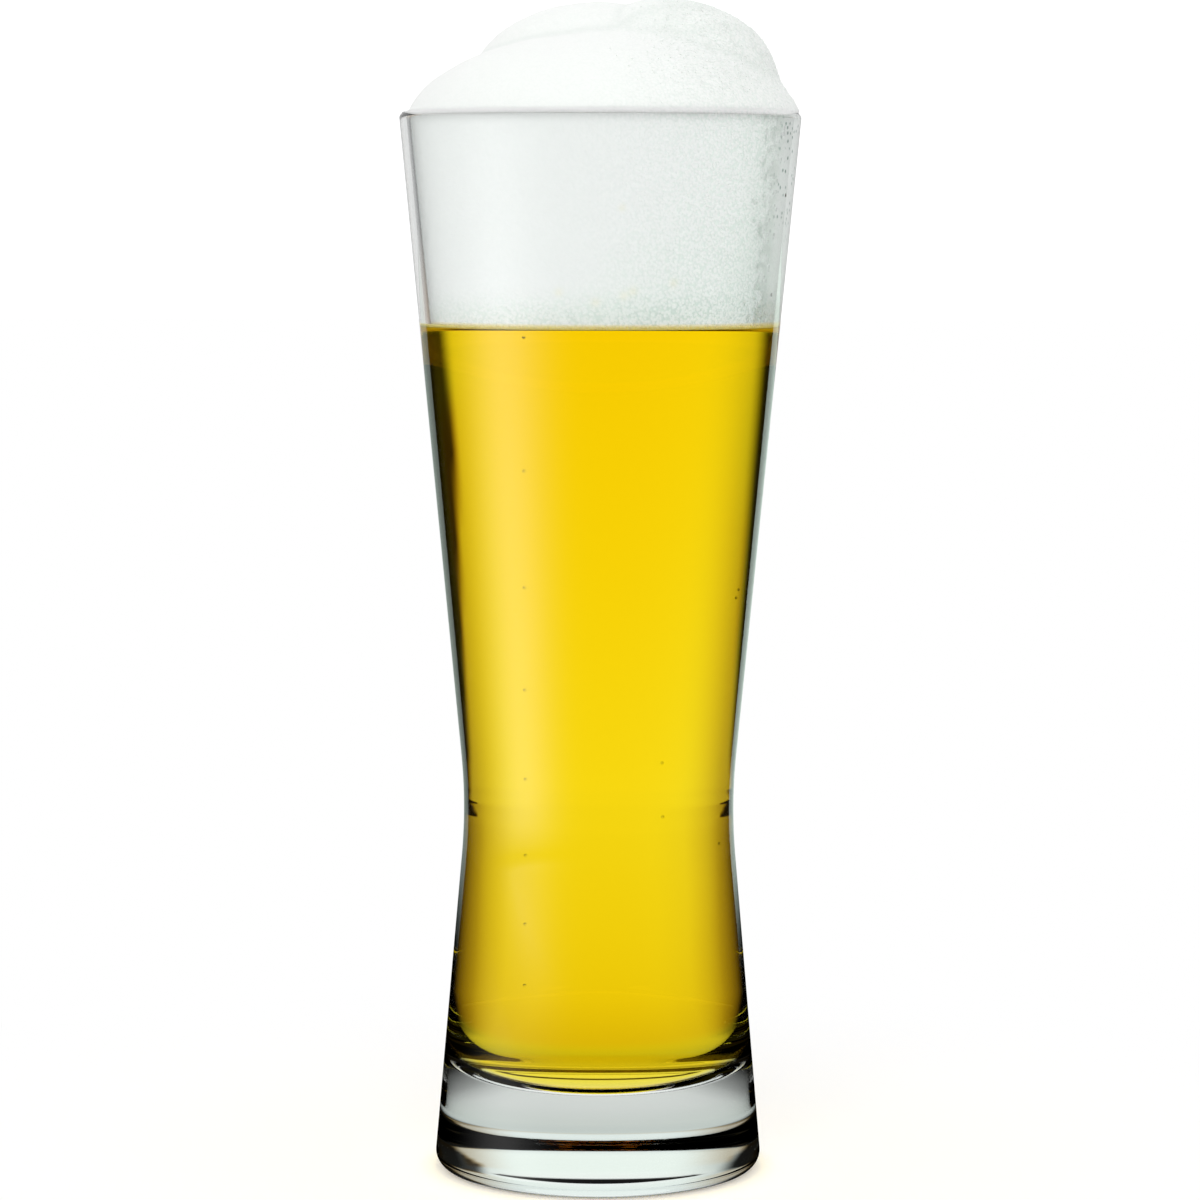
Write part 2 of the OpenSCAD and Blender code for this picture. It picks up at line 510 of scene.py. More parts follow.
@dataclass(frozen=True)
class PaleBeer:
    """Filtered pale lager: bright and clear, straw where it is thin and gold where it is deep."""

    ior: float = 1.345
    # painted light: a gold tint on the beer's floor
    floor: HeightTint = HeightTint("#FFE960", 18.15, 18.85)
    depth: str = "#FFF845"
    density: float = 112.0

    def material(self) -> bpy.types.Material:
        """Build the beer material.

        Returns:
            The material.
        """
        mat, tree = empty_material("filtered_pale_lager")
        # painted light: what shows through the bowl's floor is tinted gold, as if it were lit through the
        # beer
        tint = tinted_by_height(tree, WHITE, (self.floor,))
        # the wet glass wall bends the light on its way into the beer, so this surface only tints it
        skin = add_node(tree, "ShaderNodeBsdfPrincipled",
                        {"Base Color": tint, "Roughness": 0.0, "IOR": 1.0, "Transmission Weight": 1.0})
        body = add_node(tree, "ShaderNodeVolumeAbsorption",
                        {"Color": linear(self.depth), "Density": self.density})
        add_node(tree, "ShaderNodeOutputMaterial", {"Surface": skin.outputs[0], "Volume": body.outputs[0]})
        return mat

    def bubble(self) -> bpy.types.Material:
        """Build the material of a bubble's skin, which bends the light between beer and gas.

        Returns:
            The material.
        """
        mat, tree = empty_material("gas_bubble_in_lager")
        skin = add_node(tree, "ShaderNodeBsdfPrincipled",
                        {"Base Color": linear(WHITE), "Roughness": 0.0, "IOR": self.ior,
                         "Transmission Weight": 1.0})
        add_node(tree, "ShaderNodeOutputMaterial", {"Surface": skin.outputs[0]})
        return mat


@dataclass(frozen=True)
class BeerFoam:
    """Fresh beer foam, poured: matt white cream with fine cells, grey where damp and yellow where soaked.

    Shade is painted into its colour too: grey in the crown's folds and at the right edge in the glass, and
    near black on the underside in the beer. Cell walls and pits are spans of the distance from a cell's
    middle, as shares of the cell's size.
    """

    color: str = "#FEFFFD"
    wall: str = "#E8F0EB"
    pit: str = "#80938C"
    # greys the foam where it is damp, and where shade is painted into its folds and towards its right edge
    damp: str = "#D3DBD7"
    soaked: str = "#FFE078"
    # painted shade: near black on the foam's underside, which lies in the beer's shade
    under: str = "#1C150B"
    cell_mm: float = 0.55
    wall_span: Span = (0.35, 0.8)
    pit_mm: float = 1.5
    pit_span: Span = (0.16, 0.3)
    bump: float = 0.6
    bump_mm: float = 0.3
    rough: float = 0.7
    sink_mm: float = 1.6

    def material(self) -> bpy.types.Material:
        """Build the foam material.

        Returns:
            The material, which takes from its mesh how coarse, damp, soaked and pitted the foam is, and the
            shade painted on it.
        """
        mat, tree = empty_material("poured_beer_foam")
        place = add_node(tree, "ShaderNodeTexCoord").outputs["Object"]
        looks = {name: add_node(tree, "ShaderNodeAttribute", attribute_name=name).outputs["Fac"]
                 for name in ("coarse", "damp", "soaked", "pitted", "under")}
        # each cell is a bubble: white in the middle, with a darker wet wall where the foam is coarse
        cells = add_node(tree, "ShaderNodeTexVoronoi", {"Vector": place, "Scale": 1 / (self.cell_mm * MM)})
        walls = add_node(tree, "ShaderNodeMapRange",
                         {"Value": cells.outputs["Distance"], "From Min": self.wall_span[0],
                          "From Max": self.wall_span[1]}, interpolation_type="SMOOTHSTEP").outputs[0]
        walls = add_node(tree, "ShaderNodeMath", {0: walls, 1: looks["coarse"]},
                         operation="MULTIPLY").outputs[0]
        # open bubbles against the glass show as dark pits
        pits = add_node(tree, "ShaderNodeTexVoronoi", {"Vector": place, "Scale": 1 / (self.pit_mm * MM)})
        pits = add_node(tree, "ShaderNodeMapRange",
                        {"Value": pits.outputs["Distance"], "From Min": self.pit_span[0],
                         "From Max": self.pit_span[1], "To Min": 1.0, "To Max": 0.0}).outputs[0]
        pits = add_node(tree, "ShaderNodeMath", {0: pits, 1: looks["pitted"]},
                        operation="MULTIPLY").outputs[0]
        # damp and painted shade grey the foam; the underside comes last, painted near black as it lies in the
        # beer's own shade
        shade = linear(self.color)
        for share, color, blend in ((walls, self.wall, "MIX"), (looks["damp"], self.damp, "MULTIPLY"),
                                    (looks["soaked"], self.soaked, "MIX"), (pits, self.pit, "MIX"),
                                    (looks["under"], self.under, "MIX")):
            shade = add_node(tree, "ShaderNodeMix", {"Factor": share, "A": shade, "B": linear(color)},
                             data_type="RGBA", blend_type=blend).outputs[2]
        bump = add_node(tree, "ShaderNodeBump", {"Strength": self.bump, "Distance": self.bump_mm * MM,
                                                 "Height": walls}, invert=True)
        skin = add_node(tree, "ShaderNodeBsdfPrincipled",
                        {"Base Color": shade, "Roughness": self.rough, "Specular IOR Level": 0.0,
                         "Subsurface Weight": 1.0, "Subsurface Radius": (1.0, 1.0, 1.0),
                         "Subsurface Scale": self.sink_mm * MM, "Normal": bump.outputs[0]})
        add_node(tree, "ShaderNodeOutputMaterial", {"Surface": skin.outputs[0]})
        return mat

    def bubble(self) -> bpy.types.Material:
        """Build the material of one bubble that stands out of the foam: the same matt white, clouded.

        Returns:
            The material.
        """
        mat, tree = empty_material("foam_bubble_film")
        place = add_node(tree, "ShaderNodeTexCoord").outputs["Object"]
        cloud = add_node(tree, "ShaderNodeTexNoise", {"Vector": place, "Scale": 1 / (self.pit_mm * MM)})
        film = add_node(tree, "ShaderNodeMix", {"Factor": cloud.outputs["Fac"], "A": linear(self.color),
                                                "B": linear(self.wall)}, data_type="RGBA").outputs[2]
        skin = add_node(tree, "ShaderNodeBsdfPrincipled",
                        {"Base Color": film, "Roughness": self.rough, "Specular IOR Level": 0.0})
        add_node(tree, "ShaderNodeOutputMaterial", {"Surface": skin.outputs[0]})
        return mat


# Pieces


@dataclass
class Bowl:
    """Sizes of the glass in millimetres, and the outlines that the glass and its drink share."""

    rim_z: float
    rim_d: float
    waist_d: float = 52.8
    waist_z: float = 73.0
    waist_ease_r: float = 110.0
    foot_d: float = 65.6
    foot_edge_r: float = 3.4
    ring_w: float = 2.4
    hollow_h: float = 2.0
    rim_wall: float = 2.0
    waist_wall: float = 2.6
    floor_wall: float = 3.2
    base_t: float = 18.0
    floor_corner_r: float = 11.0
    bore_ease_r: float = 14.0
    longest_step: float = 3.0
    arc_steps: int = 24
    bore_ease_steps: int = 10
    hollow_steps: int = 16
    lip_steps: int = 16

    @property
    def lip_r(self) -> float:
        """Radius of the half round on the rim."""
        return self.rim_wall / 2

    @property
    def lip_z(self) -> float:
        """Height at which the rim's half round starts."""
        return self.rim_z - self.lip_r

    @property
    def lip_mid(self) -> float:
        """Distance of the half round's middle from the axis."""
        return self.rim_d / 2 - self.lip_r

    def outside(self) -> list[Point]:
        """Draw the outside.

        Returns:
            Points from the middle of the underside up to the rim.
        """
        foot, waist = (self.foot_d / 2, 0.0), (self.waist_d / 2, self.waist_z)
        rim = (self.rim_d / 2, self.lip_z)
        edge = rounded(foot, (0.0, 0.0), waist, self.foot_edge_r, self.arc_steps)
        hollow_r = edge[0][0] - self.ring_w
        ball_r = (hollow_r ** 2 + self.hollow_h ** 2) / (2 * self.hollow_h)
        under = []
        for i in range(self.hollow_steps + 1):
            r = hollow_r * i / self.hollow_steps
            under.append((r, self.hollow_h - ball_r + math.sqrt(ball_r ** 2 - r ** 2)))
        ease = rounded(waist, foot, rim, self.waist_ease_r, self.arc_steps)
        return under + edge + ease + [rim]

    def bore(self, gap: float = 0.0) -> list[Point]:
        """Draw the bowl's wall and floor.

        Args:
            gap: How far the outline stays clear of the glass, in millimetres.

        Returns:
            Points from the rim down to the middle of the floor.
        """
        share = self.base_t / self.waist_z
        floor_r = (1 - share) * self.foot_d / 2 + share * self.waist_d / 2 - self.floor_wall
        rim = (self.rim_d / 2 - self.rim_wall - gap, self.lip_z)
        waist = (self.waist_d / 2 - self.waist_wall - gap, self.waist_z)
        floor = (floor_r - gap, self.base_t + gap)
        ease = rounded(waist, rim, floor, self.bore_ease_r, self.bore_ease_steps)
        corner = rounded(floor, waist, (0.0, floor[1]), self.floor_corner_r, self.arc_steps)
        return [rim] + ease + corner + [(0.0, floor[1])]

    def lip(self) -> list[Point]:
        """Return the rim's half round from outside to inside, without its ends."""
        turns = [math.pi * i / self.lip_steps for i in range(1, self.lip_steps)]
        return [(self.lip_mid + self.lip_r * math.cos(a), self.lip_z + self.lip_r * math.sin(a))
                for a in turns]

    def bore_radius(self, z: float) -> float:
        """Return the bowl's inner radius at a height."""
        line = sorted(self.bore()[:-1], key=lambda p: p[1])
        return float(np.interp(z, [p[1] for p in line], [p[0] for p in line]))


@dataclass
class Vessel:
    """The one-piece glass."""

    bowl: Bowl
    finish: SodaLimeGlass
    drink: PaleBeer
    fill_z: float
    film_cosine: float = 0.87
    film_step: float = 0.7
    segments: int = 256

    def build(self) -> bpy.types.Object:
        """Build and place the glass, which the beer wets below and the foam at the far right.

        Returns:
            The glass.
        """
        rim, *bore = self.bowl.bore()
        outer = subdivided(self.bowl.outside() + self.bowl.lip() + [rim], self.bowl.longest_step)
        head = subdivided([rim, (self.bowl.bore_radius(self.fill_z), self.fill_z)], self.film_step)
        drink = subdivided([head[-1]] + bore, self.bowl.longest_step)
        wet = Wetting(self.finish.material("soda_lime_glass_wetted", self.drink.ior),
                      len(outer) + len(head) - 2, len(outer) - 1, self.film_cosine)
        glass = revolve("glass_body", outer + head[1:] + drink[1:], self.segments,
                        self.finish.material("soda_lime_glass_fire_polished"), wet)
        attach(glass, "root")
        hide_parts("glass")
        return glass


@dataclass
class Beer:
    """The beer in the bowl."""

    bowl: Bowl
    finish: PaleBeer
    top_z: float
    gap: float = 0.05
    segments: int = 256

    def build(self) -> bpy.types.Object:
        """Build and place the beer.

        Returns:
            The beer.
        """
        wall = [p for p in self.bowl.bore(self.gap) if p[1] < self.top_z]
        top = [(self.bowl.bore_radius(self.top_z) - self.gap, self.top_z), (0.0, self.top_z)]
        beer = revolve("beer_body", subdivided(wall[::-1] + top, self.bowl.longest_step), self.segments,
                       self.finish.material())
        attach(beer, "root")
        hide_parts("beer")
        return beer


@dataclass
class BeerBubbles:
    """A string of bubbles that rises through the beer, and a few that cling to the wall; in millimetres."""

    finish: PaleBeer
    foot: Point3 = (-12.0, -8.0, 38.2)
    count: int = 8
    first_gap: float = 12.2
    growth: float = 1.135
    radius: float = 0.28
    clinging: tuple[Point3, ...] = ((25.0, -9.0, 117.2), (24.2, -8.4, 115.6), (21.6, -8.0, 66.4),
                                    (11.5, -19.0, 84.2), (11.7, -18.8, 73.4))

    def build(self) -> bpy.types.Object:
        """Build and place the bubbles.

        Returns:
            The bubbles.
        """
        base = bpy.data.meshes.new("beer_bubbles_clinging")
        base.from_pydata([[c * MM for c in p] for p in self.clinging], [], [])
        values = {"Count": self.count, "Foot": [c * MM for c in self.foot], "First Gap": self.first_gap * MM,
                  "Growth": self.growth, "Radius": self.radius * MM, "Finish": self.finish.bubble()}
        bubbles = run_tree("beer_bubbles", base, STRING, values)
        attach(bubbles, "root")
        return bubbles


@dataclass(frozen=True)
class Lobe:
    """One rounded mass of foam, as an ellipsoid in millimetres from the rim's middle."""

    middle: Point3
    half: Point3
    blend: float = 0.9

    def reach(self, ways: np.ndarray) -> np.ndarray:
        """Find how far the lobe reaches from the rim's middle.

        Args:
            ways: Unit directions, one a row.

        Returns:
            The distance to the lobe's far side in each direction, or 0 where it isn't met.
        """
        half = np.array(self.half)
        d, o = ways / half, -np.array(self.middle) / half
        a, b, c = (d * d).sum(1), (d * o).sum(1), float(o @ o) - 1
        root = b * b - a * c
        far = np.where(root > 0, (-b + np.sqrt(np.maximum(root, 0))) / a, 0.0)
        return np.maximum(far, 0.0)


@dataclass
class Ring:
    """One ring of the foam's surface: its points in millimetres, and its looks where they aren't 0."""

    points: np.ndarray
    looks: dict[str, np.ndarray]


def ring_points(turn: np.ndarray, r: np.ndarray | float, z: np.ndarray | float) -> np.ndarray:
    """Return the point at radius r and height z for each angle round the axis."""
    return np.stack([r * np.cos(turn), r * np.sin(turn), z + np.zeros_like(turn)], axis=1)


def grain(points: np.ndarray, size: float) -> np.ndarray:
    """Return noise with features of about the given size at each point."""
    return np.array([noise.noise(Vector(p) / size) for p in points])


@dataclass(frozen=True)
class ColumnLook:
    """How the foam in the glass looks, by the cosine to the right and by millimetres above its underside.

    It is coarser to the right and low down, damp low down, and greyed by painted shade towards the right
    edge; it is soaked next to the beer and in a few spots, and pitted at the far right, where a film
    wets the glass.
    """

    fine: float = 0.12
    coarser: float = 0.7
    coarser_side: Span = (-0.3, 0.9)
    film_even: float = 0.8
    film_side: Span = (0.84, 0.9)
    low_z: Span = (0.0, 9.0)
    low_coarse: float = 0.6
    low_damp: float = 0.15
    damp: float = 0.02
    rising_z: Span = (5.0, 30.0)
    rising_damp: float = 0.1
    rising_right: float = 0.1
    rising_side: Span = (-0.5, 0.3)
    # painted shade: the foam greys towards the right edge, and most of that is taken off at the far right
    edge_shade: float = 0.35
    edge_side: Span = (0.6, 0.95)
    edge_unshaded: float = 0.8
    edge_unshaded_side: Span = (0.9, 0.93)
    soaked_z: Span = (0.2, 1.2)
    spot_r: float = 0.8
    spot_soaked: float = 0.12
    spots: tuple[Point, ...] = ((-13.0, 7.2), (-1.4, 5.3), (7.5, 6.6), (10.4, 7.4), (23.6, 8.9), (6.5, 23.2))
    pit_side: Span = (0.86, 0.95)
    pit_z: Span = (12.0, 26.0)

    def at(self, turn: np.ndarray, r: float, height: float) -> dict[str, np.ndarray]:
        """Find the looks of one ring.

        Args:
            turn: Angles round the axis.
            r: The ring's radius.
            height: Its height above the foam's underside.

        Returns:
            How coarse, soaked and pitted the foam is at each angle, and how far damp and painted shade grey
            it.
        """
        right, front = np.cos(turn), (np.degrees(turn) + 270) % 360 - 180
        low, rising = 1 - smooth(*self.low_z, height), 1 - smooth(*self.rising_z, height)
        coarse = self.coarser * smooth(*self.coarser_side, right)
        coarse = coarse * (1 - self.film_even * smooth(*self.film_side, right))
        # painted shade, darker towards the right edge except under the film
        right_shade = self.edge_shade * smooth(*self.edge_side, right)
        right_shade = right_shade * (1 - self.edge_unshaded * smooth(*self.edge_unshaded_side, right))
        damp = (self.rising_damp + self.rising_right * smooth(*self.rising_side, right)) * rising
        soaked = np.full_like(turn, 1 - smooth(*self.soaked_z, height))
        for angle, spot_z in self.spots:
            away = np.hypot((front - angle) * math.radians(r), height - spot_z)
            soaked = soaked + self.spot_soaked * np.exp(-(away / self.spot_r) ** 2)
        return {"coarse": np.clip(self.fine + coarse + self.low_coarse * low, 0, 1),
                "damp": np.clip(self.damp + damp + self.low_damp * low + right_shade, 0, 1),
                "soaked": np.clip(soaked, 0, 1),
                "pitted": smooth(*self.pit_side, right) * smooth(*self.pit_z, height)}


@dataclass(frozen=True)
class CrownLook:
    """How the foam above the rim looks: coarse to the right, damp, and greyed by shade painted into its
    folds.

    Sides are millimetres to the right of the axis, and the rim's are cosines.
    """

    fine: float = 0.1
    coarser: float = 0.45
    coarser_x: Span = (-8.0, 34.0)
    bubbly_x: Span = (0.0, 30.0)
    damp: float = 0.34
    # painted shade in the folds where the lobes meet
    fold_shade: float = 0.4
    fold_in: float = 2.2
    fold_out: float = 0.8
    rim_damp: float = 0.2
    rim_side: Span = (-0.2, 0.9)


@dataclass
class FoamHead:
    """The foam: a column in the glass and a crown of lobes above the rim, in millimetres.

    On the rim, angles are in degrees from level outside. The foam ends high on the rim at the sides, and
    hangs over it with a rolled edge in front and behind. Each ring of the roll has a turn and a lift, each
    with how much more it is where the edge hangs: turn, more turn, lift, more lift.
    """

    bowl: Bowl
    finish: BeerFoam
    beer_z: float
    gap: float = 0.1
    sink: float = 0.5
    segments: int = 400
    under_start: float = 0.05
    under_rings: int = 12
    shaded_share: float = 0.7
    foot_step: float = 0.03
    column_rings: int = 70
    rim_rings: int = 12
    rim_end: float = 60.0
    hang_end: float = 15.0
    hang_side: Span = (0.1, 0.5)
    roll: tuple[tuple[float, float, float, float], ...] = ((5.0, 10.0, 0.05, 0.15), (10.0, 25.0, 0.08, 0.22))
    crown_rings: int = 120
    lump_mm: float = 9.0
    lump_depth: float = 0.45
    froth_mm: float = 1.7
    froth_depth: float = 0.1
    uneven_from: Span = (0.0, 0.25)
    lobes: tuple[Lobe, ...] = (
        Lobe((0.6, 0.0, -4.0), (39.2, 39.0, 19.5)),
        Lobe((-1.5, 11.0, 5.0), (24.0, 20.0, 16.8), 1.4),
        Lobe((10.5, 3.0, 7.6), (11.5, 14.0, 14.2), 2.2),
        Lobe((16.6, 3.5, 5.4), (18.0, 17.0, 15.8), 2.6),
    )
    column_look: ColumnLook = ColumnLook()
    crown_look: CrownLook = CrownLook()
    mesh: bpy.types.Mesh | None = field(default=None, init=False)

    def column(self, turn: np.ndarray) -> list[Ring]:
        """Build the rings from the foam's underside up to the rim.

        Args:
            turn: Angles round the axis.

        Returns:
            Rings from the middle of the underside. A thin layer of air lies between the foam and the wall.
        """
        bottom = self.beer_z - self.sink
        edge = self.bowl.bore_radius(bottom) - self.gap
        path = [(edge * s, bottom) for s in np.linspace(self.under_start, 1.0, self.under_rings)]
        levels = (bottom + self.foot_step, *np.linspace(bottom, self.bowl.lip_z, self.column_rings)[1:])
        path += [(self.bowl.bore_radius(z) - self.gap, z) for z in levels]
        rings = []
        for r, z in path:
            looks = self.column_look.at(turn, r, z - bottom)
            # painted shade: the middle of the underside is painted near black
            looks["under"] = np.full_like(turn, z == bottom and r < self.shaded_share * edge)
            rings.append(Ring(ring_points(turn, r, z), looks))
        return rings

    def over_rim(self, turn: np.ndarray) -> list[Ring]:
        """Build the rings over the rounded rim.

        Args:
            turn: Angles round the axis.

        Returns:
            Rings from the inner side of the rim to the foot of the crown.
        """
        look, reach = self.crown_look, self.bowl.lip_r + self.gap
        hang = smooth(*self.hang_side, np.abs(np.sin(turn)))
        last = np.radians(self.rim_end - (self.rim_end - self.hang_end) * hang)
        path = [(math.pi + (last - math.pi) * s, reach) for s in np.linspace(0, 1, self.rim_rings)[1:]]
        for turned, turned_more, lift, lift_more in self.roll:
            path.append((last + np.radians(turned + turned_more * hang), reach + lift + lift_more * hang))
        looks = {"coarse": look.fine + look.coarser * smooth(*look.rim_side, np.cos(turn)),
                 "damp": np.full_like(turn, look.rim_damp)}
        return [Ring(ring_points(turn, self.bowl.lip_mid + away * np.cos(angle),
                                 self.bowl.lip_z + away * np.sin(angle)), looks) for angle, away in path]

    def crown(self, turn: np.ndarray) -> list[Ring]:
        """Build the crown's rings from the rim to its top.

        Args:
            turn: Angles round the axis.

        Returns:
            Rings with shade painted into the folds where the lobes meet.
        """
        look, rings = self.crown_look, []
        for slope in np.linspace(0.0, math.pi / 2, self.crown_rings + 1)[1:-1]:
            ways = ring_points(turn, math.cos(slope), math.sin(slope))
            far, fold = self.lobes[0].reach(ways), np.zeros_like(turn)
            for lobe in self.lobes[1:]:
                other = lobe.reach(ways)
                above = far - other
                width = np.where(above > 0, look.fold_in, look.fold_out)
                # painted shade: the nearer two lobes' surfaces come, the greyer the fold between them
                fold = np.maximum(fold, np.exp(-(above / width) ** 2) / (1 + lobe.blend))
                far = 0.5 * (far + other + np.sqrt(above ** 2 + lobe.blend ** 2))
            surface = ways * far[:, None]
            free = smooth(*self.uneven_from, slope)
            uneven = grain(surface, self.lump_mm) * self.lump_depth
            uneven = uneven + grain(surface, self.froth_mm) * self.froth_depth
            points = ways * (far + free * uneven)[:, None] + np.array([0.0, 0.0, self.bowl.rim_z])
            x = surface[:, 0]
            rings.append(Ring(points, {"coarse": look.fine + look.coarser * smooth(*look.coarser_x, x),
                                       "damp": look.damp + look.fold_shade * fold,
                                       "bubbly": free * smooth(*look.bubbly_x, x)}))
        return rings

    def build(self) -> bpy.types.Object:
        """Build and place the foam.

        Returns:
            The foam. Its mesh is kept for the bubbles that stand on it.
        """
        count = self.segments
        turn = np.arange(count) / count * math.tau
        rings = self.column(turn) + self.over_rim(turn) + self.crown(turn)
        points = [(0.0, 0.0, float(rings[0].points[0, 2]))]
        points += np.concatenate([ring.points for ring in rings]).tolist()
        points.append((0.0, 0.0, float(rings[-1].points[:, 2].mean())))
        faces = [(0, 1 + (j + 1) % count, 1 + j) for j in range(count)]
        for i in range(len(rings) - 1):
            low, high = 1 + i * count, 1 + (i + 1) * count
            faces += [(low + j, low + (j + 1) % count, high + (j + 1) % count, high + j)
                      for j in range(count)]
        last, tip = 1 + (len(rings) - 1) * count, len(points) - 1
        faces += [(last + j, last + (j + 1) % count, tip) for j in range(count)]
        mesh = bpy.data.meshes.new("foam_head_body")
        mesh.from_pydata([[c * MM for c in p] for p in points], [], faces)
        for look in ("coarse", "damp", "soaked", "pitted", "under", "bubbly"):
            values = [ring.looks.get(look, np.zeros_like(turn)) for ring in rings]
            add_values(mesh, look, np.concatenate([values[0][:1], *values, values[-1][:1]]))
        mesh.shade_smooth()
        mesh.materials.append(self.finish.material())
        self.mesh = mesh
        foam = add_object("foam_head_body", mesh)
        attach(foam, "root")
        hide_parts("foam_head")
        return foam


@dataclass
class FoamBubbles:
    """Single bubbles that stand out of the crown, most of them on the right where it is coarse."""

    head: FoamHead
    per_mm2: float = 1.4
    least_mm: float = 0.1
    largest_mm: float = 0.2
    seed: int = 7

    def build(self) -> bpy.types.Object:
        """Build and place the bubbles on the built foam.

        Returns:
            The bubbles.
        """
        values = {"Density": self.per_mm2 / MM ** 2, "Least Radius": self.least_mm * MM,
                  "Largest Radius": self.largest_mm * MM, "Seed": self.seed,
                  "Finish": self.head.finish.bubble()}
        bubbles = run_tree("foam_head_bubbles", self.head.mesh.copy(), SCATTER, values)
        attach(bubbles, "root")
        return bubbles


# Stage


def shown(tree: bpy.types.NodeTree) -> bpy.types.NodeSocket:
    """Add a factor that is 1 where the camera sees a background, straight or by way of the glass.

    Args:
        tree: Node tree of the background.

    Returns:
        The socket that gives the factor.
    """
    path = add_node(tree, "ShaderNodeLightPath").outputs
    seen = path["Is Camera Ray"]
    for way in ("Is Glossy Ray", "Is Transmission Ray"):
        seen = add_node(tree, "ShaderNodeMath", {0: seen, 1: path[way]}, operation="MAXIMUM").outputs[0]
    return seen


class Seen(Enum):
    """How a stage card shows: only through the glass, or only mirrored in it."""

    THROUGH = "through"
    MIRRORED = "mirrored"


@dataclass
class Card:
    """A card round the object that shows only in the glass and turns with the camera.

    Its angles run from straight behind the object towards the right, in degrees, and its path through
    distances from the axis and heights in millimetres. Glow and warm have a row for each point of the path,
    and say how bright each point is and how far it turns amber where it is dim.
    """

    name: str
    seen: Seen
    turns: np.ndarray
    path: list[Point]
    glow: np.ndarray
    warm: np.ndarray | float = 0.0
    tone: str = WHITE
    amber: str = "#FFD395"
    amber_rise: float = 1.1

    def material(self) -> bpy.types.Material:
        """Build the card's glow.

        Returns:
            The material.
        """
        mat, tree = empty_material(self.name)
        glow, amber = (add_node(tree, "ShaderNodeAttribute", attribute_name=name).outputs["Fac"]
                       for name in ("glow", "amber"))
        shade = add_node(tree, "ShaderNodeMix",
                         {"Factor": amber, "A": linear(self.tone), "B": linear(self.amber)},
                         data_type="RGBA").outputs[2]
        shine = add_node(tree, "ShaderNodeEmission", {"Color": shade, "Strength": glow})
        # the card is there for the eye: it takes no light off the foam in the glass
        scattered = add_node(tree, "ShaderNodeLightPath").outputs["Diffuse Depth"]
        scattered = add_node(tree, "ShaderNodeMath", {0: scattered, 1: 0.5}, operation="GREATER_THAN")
        clear = add_node(tree, "ShaderNodeBsdfTransparent")
        both = add_node(tree, "ShaderNodeMixShader",
                        {0: scattered.outputs[0], 1: shine.outputs[0], 2: clear.outputs[0]})
        add_node(tree, "ShaderNodeOutputMaterial", {"Surface": both.outputs[0]})
        return mat

    def build(self, cam: bpy.types.Object) -> None:
        """Stand the card round the object.

        Args:
            cam: The camera that the card turns with.
        """
        count, turn = len(self.turns), np.radians(self.turns)
        points = [(r * math.sin(a) * MM, r * math.cos(a) * MM, z * MM) for r, z in self.path for a in turn]
        faces = [(i * count + j, i * count + j + 1, (i + 1) * count + j + 1, (i + 1) * count + j)
                 for i in range(len(self.path) - 1) for j in range(count - 1)]
        mesh = bpy.data.meshes.new(self.name)
        mesh.from_pydata(points, [], faces)
        add_values(mesh, "glow", self.glow)
        add_values(mesh, "amber", self.warm * np.clip(self.amber_rise * (1 - self.glow), 0, 1))
        mesh.materials.append(self.material())
        card = add_object(self.name, mesh)
        card.visible_camera = card.visible_diffuse = card.visible_shadow = card.visible_volume_scatter = False
        card.visible_transmission = self.seen is Seen.THROUGH
        card.visible_glossy = self.seen is Seen.MIRRORED
        follow = card.constraints.new("COPY_ROTATION")
        follow.target = cam
        follow.use_x = follow.use_y = False


